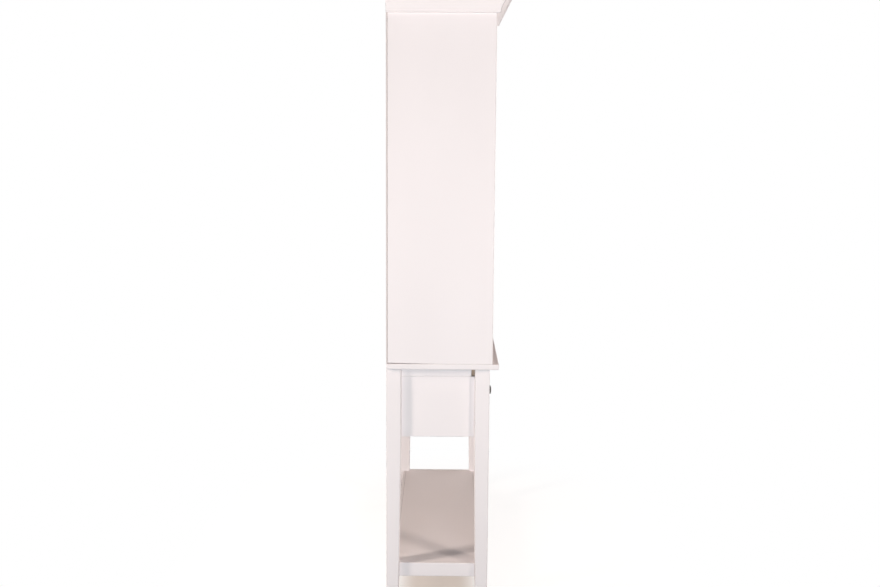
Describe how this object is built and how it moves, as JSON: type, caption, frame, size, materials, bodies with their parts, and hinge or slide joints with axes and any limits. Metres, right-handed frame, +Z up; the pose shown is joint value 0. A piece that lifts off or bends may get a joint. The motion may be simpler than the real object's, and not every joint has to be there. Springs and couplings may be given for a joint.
{
  "type": "open-front hutch cabinet with drawers",
  "caption": "Tall painted open-front hutch with crown moulding and shelves, standing on a table base with tapered legs, a row of knobbed drawers and a lower shelf.",
  "frame": {"origin": "on the floor, under the middle of the overall box", "axes": "+Z up, -Y towards the front where the drawers open, +X to the right for someone looking at the back"},
  "size_m": [1.176, 0.392, 1.995],
  "materials": {
    "white_paint": "satin warm-white paint on solid wood and board",
    "back_board": "thin painted board, matte",
    "drawer_pine": "clear-sealed pine, matte",
    "drawer_hardboard": "plain thin hardboard, matte",
    "bare_beech": "bare hardwood, waxed",
    "knob_metal": "dark bronze, satin",
    "bright_steel": "zinc-plated steel",
    "glide_plastic": "pale nylon, matte"
  },
  "bodies": {
    "cabinet": {"back_apron": "white_paint", "base_top": "white_paint", "crown_front": "white_paint", "crown_left_return": "white_paint", "crown_right_return": "white_paint", "drawer_guides": "bare_beech", "drawer_runners": "bare_beech", "foot_glides": "glide_plastic", "front_bottom_rail": "white_paint", "front_left_leg": "white_paint", "front_right_leg": "white_paint", "front_top_rail": "white_paint", "hutch_back_panel": "back_board", "hutch_bottom_panel": "white_paint", "hutch_bottom_rail": "white_paint", "hutch_dowels": "bare_beech", "hutch_frieze_rail": "white_paint", "hutch_left_side": "white_paint", "hutch_left_stile": "white_paint", "hutch_right_side": "white_paint", "hutch_right_stile": "white_paint", "hutch_top_panel": "white_paint", "left_drawer_divider": "white_paint", "left_side_panel": "white_paint", "left_top_rail": "white_paint", "lower_hutch_shelf": "white_paint", "lower_shelf": "white_paint", "lower_shelf_back_rail": "white_paint", "lower_shelf_front_rail": "white_paint", "lower_shelf_left_rail": "white_paint", "lower_shelf_right_rail": "white_paint", "middle_hutch_shelf": "white_paint", "rear_left_leg": "white_paint", "rear_right_leg": "white_paint", "right_drawer_divider": "white_paint", "right_side_panel": "white_paint", "right_top_rail": "white_paint", "shelf_pins": "bright_steel", "upper_hutch_shelf": "white_paint"},
    "left_drawer": {"left_drawer_back": "drawer_pine", "left_drawer_bottom": "drawer_hardboard", "left_drawer_front": "white_paint", "left_drawer_knob": "knob_metal", "left_drawer_knob_screw": "bright_steel", "left_drawer_left_side": "drawer_pine", "left_drawer_right_side": "drawer_pine"},
    "middle_drawer": {"middle_drawer_back": "drawer_pine", "middle_drawer_bottom": "drawer_hardboard", "middle_drawer_front": "white_paint", "middle_drawer_knob": "knob_metal", "middle_drawer_knob_screw": "bright_steel", "middle_drawer_left_side": "drawer_pine", "middle_drawer_right_side": "drawer_pine"},
    "right_drawer": {"right_drawer_back": "drawer_pine", "right_drawer_bottom": "drawer_hardboard", "right_drawer_front": "white_paint", "right_drawer_knob": "knob_metal", "right_drawer_knob_screw": "bright_steel", "right_drawer_left_side": "drawer_pine", "right_drawer_right_side": "drawer_pine"}
  },
  "joints": [
    {"name": "left_drawer_slide", "type": "slide", "parent": "cabinet", "child": "left_drawer", "axis": [0, -1, 0], "range_m": [0, 0.2]},
    {"name": "middle_drawer_slide", "type": "slide", "parent": "cabinet", "child": "middle_drawer", "axis": [0, -1, 0], "range_m": [0, 0.2]},
    {"name": "right_drawer_slide", "type": "slide", "parent": "cabinet", "child": "right_drawer", "axis": [0, -1, 0], "range_m": [0, 0.2]}
  ]
}
